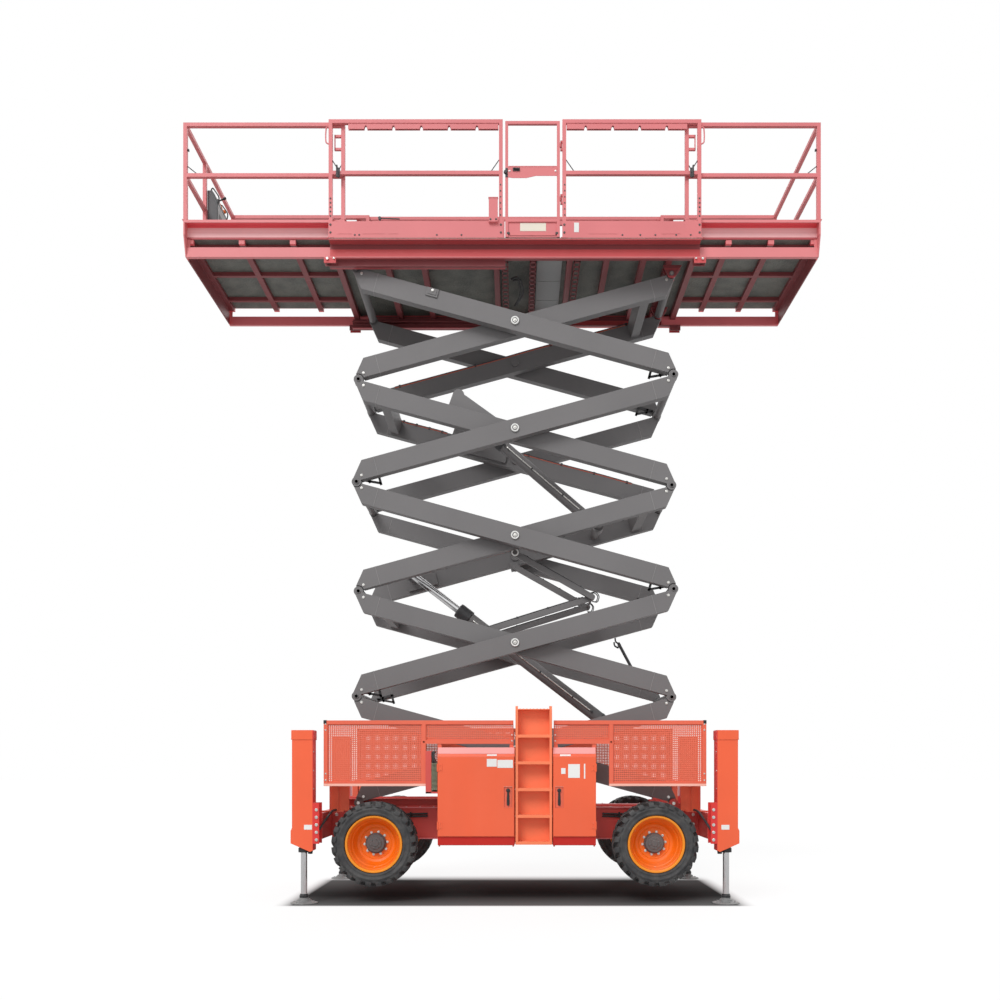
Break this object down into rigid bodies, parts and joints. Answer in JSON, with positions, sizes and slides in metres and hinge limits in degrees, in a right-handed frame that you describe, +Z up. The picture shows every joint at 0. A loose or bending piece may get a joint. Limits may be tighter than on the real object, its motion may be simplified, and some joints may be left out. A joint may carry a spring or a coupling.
{
  "type": "rough-terrain scissor lift",
  "caption": "Four-wheel scissor lift with stacked cross arms, roll-out platform, side cabinets and outrigger legs.",
  "frame": {"origin": "on the ground, at the centre of the machine's footprint", "axes": "+Z up, +X towards the rear (steered wheels at -X), -Y is the ladder side"},
  "size_m": [6.557, 2.47, 8],
  "materials": {
    "arm_grey": "satin",
    "black": "satin",
    "box_grey": "matte",
    "chassis_red": "satin",
    "chrome": "polished",
    "cover_orange": "satin",
    "deck_grey": "matte",
    "iron": "matte",
    "platform_red": "satin",
    "rim_orange": "satin",
    "tyre": "matte"
  },
  "bodies": {
    "outer_arm_1": {"outer_arm_1": "arm_grey"},
    "inner_arm_1": {"inner_arm_1": "arm_grey"},
    "outer_arm_2": {"outer_arm_2": "arm_grey"},
    "inner_arm_2": {"inner_arm_2": "arm_grey"},
    "outer_arm_3": {"outer_arm_3": "arm_grey"},
    "inner_arm_3": {"inner_arm_3": "arm_grey"},
    "outer_arm_4": {"outer_arm_4": "arm_grey"},
    "inner_arm_4": {"inner_arm_4": "arm_grey"},
    "outer_arm_5": {"outer_arm_5": "arm_grey"},
    "inner_arm_5": {"inner_arm_5": "arm_grey"},
    "lower_cylinder_barrel": {"lower_cylinder_barrel": "arm_grey"},
    "lower_cylinder_rod": {"lower_cylinder_rod": "chrome"},
    "hose_link_lower": {"hose_link_lower": "arm_grey"},
    "upper_cylinder_barrel": {"upper_cylinder_barrel": "arm_grey"},
    "upper_cylinder_rod": {"upper_cylinder_rod": "chrome"},
    "hose_link_upper": {"hose_link_upper": "arm_grey"},
    "chassis": {"chassis_frame": "chassis_red", "roller_tracks": "chassis_red", "front_axle": "iron", "rear_axle": "iron", "side_pods": "cover_orange", "engine_block": "iron", "cooler": "iron", "access_ladder": "cover_orange", "guard_frames": "cover_orange", "guard_meshes": "black", "outrigger_housings": "cover_orange"},
    "outrigger_leg_front_near": {"outrigger_leg_front_near": "chrome"},
    "wheel_front_near": {"tyre_front_near": "tyre", "rim_front_near": "rim_orange"},
    "outrigger_leg_front_far": {"outrigger_leg_front_far": "chrome"},
    "wheel_front_far": {"tyre_front_far": "tyre", "rim_front_far": "rim_orange"},
    "outrigger_leg_rear_near": {"outrigger_leg_rear_near": "chrome"},
    "wheel_rear_near": {"tyre_rear_near": "tyre", "rim_rear_near": "rim_orange"},
    "outrigger_leg_rear_far": {"outrigger_leg_rear_far": "chrome"},
    "wheel_rear_far": {"tyre_rear_far": "tyre", "rim_rear_far": "rim_orange"},
    "steering_knuckle_near": {"steering_knuckle_near": "iron"},
    "steering_knuckle_far": {"steering_knuckle_far": "iron"},
    "front_door_near": {"front_door_near": "cover_orange"},
    "rear_door_near": {"rear_door_near": "cover_orange"},
    "front_door_far": {"front_door_far": "cover_orange"},
    "rear_door_far": {"rear_door_far": "cover_orange"},
    "platform": {"platform_frame": "platform_red", "platform_floor": "deck_grey", "platform_rails": "platform_red"},
    "gate": {"gate": "platform_red"},
    "front_extension": {"front_extension_frame": "platform_red", "front_extension_floor": "deck_grey", "front_extension_rails": "platform_red", "control_box": "box_grey"},
    "rear_extension": {"rear_extension_frame": "platform_red", "rear_extension_floor": "deck_grey", "rear_extension_rails": "platform_red"}
  },
  "joints": [
    {"name": "lift", "type": "hinge", "parent": "chassis", "child": "outer_arm_1", "pos_m": [1.7985, 0, 0.985], "axis": [0, 1, 0], "range_deg": [-15.25, 38.8]},
    {"name": "outer_arm_2_pivot", "type": "hinge", "parent": "outer_arm_1", "child": "outer_arm_2", "pos_m": [-1.5315, 0, 2.111], "axis": [0, 1, 0], "range_deg": [-77.8, 30.7]},
    {"name": "outer_arm_3_pivot", "type": "hinge", "parent": "outer_arm_2", "child": "outer_arm_3", "pos_m": [1.7985, 0, 3.237], "axis": [0, 1, 0], "range_deg": [-30.7, 77.8]},
    {"name": "outer_arm_4_pivot", "type": "hinge", "parent": "outer_arm_3", "child": "outer_arm_4", "pos_m": [-1.5315, 0, 4.363], "axis": [0, 1, 0], "range_deg": [-77.8, 30.7]},
    {"name": "outer_arm_5_pivot", "type": "hinge", "parent": "outer_arm_4", "child": "outer_arm_5", "pos_m": [1.7985, 0, 5.489], "axis": [0, 1, 0], "range_deg": [-30.7, 77.8]},
    {"name": "inner_arm_1_pivot", "type": "hinge", "parent": "outer_arm_1", "child": "inner_arm_1", "pos_m": [0.1335, 0, 1.548], "axis": [0, 1, 0], "range_deg": [-77.8, 30.7]},
    {"name": "inner_arm_2_pivot", "type": "hinge", "parent": "outer_arm_2", "child": "inner_arm_2", "pos_m": [0.1335, 0, 2.674], "axis": [0, 1, 0], "range_deg": [-30.7, 77.8]},
    {"name": "inner_arm_3_pivot", "type": "hinge", "parent": "outer_arm_3", "child": "inner_arm_3", "pos_m": [0.1335, 0, 3.8], "axis": [0, 1, 0], "range_deg": [-77.8, 30.7]},
    {"name": "inner_arm_4_pivot", "type": "hinge", "parent": "outer_arm_4", "child": "inner_arm_4", "pos_m": [0.1335, 0, 4.926], "axis": [0, 1, 0], "range_deg": [-30.7, 77.8]},
    {"name": "inner_arm_5_pivot", "type": "hinge", "parent": "outer_arm_5", "child": "inner_arm_5", "pos_m": [0.1335, 0, 6.052], "axis": [0, 1, 0], "range_deg": [-77.8, 30.7]},
    {"name": "platform_pivot", "type": "hinge", "parent": "inner_arm_5", "child": "platform", "pos_m": [1.7985, 0, 6.615], "axis": [0, 1, 0], "range_deg": [-15.45, 39]},
    {"name": "lower_cylinder_pivot", "type": "hinge", "parent": "inner_arm_1", "child": "lower_cylinder_barrel", "pos_m": [1.17543, 0, 1.83221], "axis": [0, 1, 0], "range_deg": [-30.7, 77.8]},
    {"name": "lower_cylinder_stroke", "type": "slide", "parent": "lower_cylinder_barrel", "child": "lower_cylinder_rod", "axis": [-0.793, 0, 0.6093], "range_m": [-0.522, 1.3235]},
    {"name": "upper_cylinder_pivot", "type": "hinge", "parent": "inner_arm_3", "child": "upper_cylinder_barrel", "pos_m": [1.05001, 0, 4.05], "axis": [0, 1, 0], "range_deg": [-33.37, 84.59]},
    {"name": "upper_cylinder_stroke", "type": "slide", "parent": "upper_cylinder_barrel", "child": "upper_cylinder_rod", "axis": [-0.758, 0, 0.6523], "range_m": [-0.3889, 0.9849]},
    {"name": "hose_link_upper_pivot", "type": "hinge", "parent": "inner_arm_3", "child": "hose_link_upper", "pos_m": [0.13359, 0, 3.67046], "axis": [0, 1, 0], "range_deg": [-39.85, 101.08]},
    {"name": "hose_link_knee", "type": "hinge", "parent": "hose_link_upper", "child": "hose_link_lower", "pos_m": [0.96735, 0, 3.20066], "axis": [0, 1, 0], "range_deg": [-112.72, 44.43]},
    {"name": "outrigger_front_near", "type": "slide", "parent": "chassis", "child": "outrigger_leg_front_near", "axis": [0, 0, 1], "range_m": [-0.1, 0.42]},
    {"name": "wheel_front_near_spin", "type": "hinge", "parent": "steering_knuckle_near", "child": "wheel_front_near", "pos_m": [-1.2865, -0.98, 0.59], "axis": [0, 1, 0], "continuous": true},
    {"name": "outrigger_front_far", "type": "slide", "parent": "chassis", "child": "outrigger_leg_front_far", "axis": [0, 0, 1], "range_m": [-0.1, 0.42]},
    {"name": "wheel_front_far_spin", "type": "hinge", "parent": "steering_knuckle_far", "child": "wheel_front_far", "pos_m": [-1.2865, 0.98, 0.59], "axis": [0, 1, 0], "continuous": true},
    {"name": "outrigger_rear_near", "type": "slide", "parent": "chassis", "child": "outrigger_leg_rear_near", "axis": [0, 0, 1], "range_m": [-0.1, 0.42]},
    {"name": "wheel_rear_near_spin", "type": "hinge", "parent": "chassis", "child": "wheel_rear_near", "pos_m": [1.5535, -0.98, 0.59], "axis": [0, 1, 0], "continuous": true},
    {"name": "outrigger_rear_far", "type": "slide", "parent": "chassis", "child": "outrigger_leg_rear_far", "axis": [0, 0, 1], "range_m": [-0.1, 0.42]},
    {"name": "wheel_rear_far_spin", "type": "hinge", "parent": "chassis", "child": "wheel_rear_far", "pos_m": [1.5535, 0.98, 0.59], "axis": [0, 1, 0], "continuous": true},
    {"name": "steering", "type": "hinge", "parent": "chassis", "child": "steering_knuckle_near", "pos_m": [-1.2865, -0.83, 0.59], "axis": [0, 0, 1], "range_deg": [-25, 25]},
    {"name": "steering_far", "type": "hinge", "parent": "chassis", "child": "steering_knuckle_far", "pos_m": [-1.2865, 0.83, 0.59], "axis": [0, 0, 1], "range_deg": [-25, 25]},
    {"name": "front_door_near_hinge", "type": "hinge", "parent": "chassis", "child": "front_door_near", "pos_m": [-0.6415, -1.14, 1], "axis": [0, 0, -1], "range_deg": [0, 110]},
    {"name": "rear_door_near_hinge", "type": "hinge", "parent": "chassis", "child": "rear_door_near", "pos_m": [0.9445, -1.14, 1], "axis": [0, 0, 1], "range_deg": [0, 110]},
    {"name": "front_door_far_hinge", "type": "hinge", "parent": "chassis", "child": "front_door_far", "pos_m": [-0.6415, 1.14, 1], "axis": [0, 0, 1], "range_deg": [0, 110]},
    {"name": "rear_door_far_hinge", "type": "hinge", "parent": "chassis", "child": "rear_door_far", "pos_m": [0.9445, 1.14, 1], "axis": [0, 0, -1], "range_deg": [0, 110]},
    {"name": "gate_hinge", "type": "hinge", "parent": "platform", "child": "gate", "pos_m": [0.6085, -0.873, 7.4], "axis": [0, 0, -1], "range_deg": [0, 90]},
    {"name": "front_extension_slide", "type": "slide", "parent": "platform", "child": "front_extension", "axis": [1, 0, 0], "range_m": [0, 1.45]},
    {"name": "rear_extension_slide", "type": "slide", "parent": "platform", "child": "rear_extension", "axis": [-1, 0, 0], "range_m": [0, 1.19]}
  ],
  "couplings": [
    {"joint": "outer_arm_2_pivot", "follows": "lift", "ratio": -2},
    {"joint": "outer_arm_3_pivot", "follows": "lift", "ratio": 2},
    {"joint": "outer_arm_4_pivot", "follows": "lift", "ratio": -2},
    {"joint": "outer_arm_5_pivot", "follows": "lift", "ratio": 2},
    {"joint": "inner_arm_1_pivot", "follows": "lift", "ratio": -2},
    {"joint": "inner_arm_2_pivot", "follows": "lift", "ratio": 2},
    {"joint": "inner_arm_3_pivot", "follows": "lift", "ratio": -2},
    {"joint": "inner_arm_4_pivot", "follows": "lift", "ratio": 2},
    {"joint": "inner_arm_5_pivot", "follows": "lift", "ratio": -2},
    {"joint": "platform_pivot", "follows": "lift", "ratio": 1},
    {"joint": "lower_cylinder_pivot", "follows": "lift", "ratio": 2},
    {"joint": "lower_cylinder_stroke", "follows": "lift", "m_per_rad": 1.95},
    {"joint": "upper_cylinder_pivot", "follows": "lift", "ratio": 2.175},
    {"joint": "upper_cylinder_stroke", "follows": "lift", "m_per_rad": 1.45},
    {"joint": "hose_link_upper_pivot", "follows": "lift", "ratio": 2.6},
    {"joint": "hose_link_knee", "follows": "lift", "ratio": -2.9},
    {"joint": "steering_far", "follows": "steering", "ratio": 1}
  ]
}
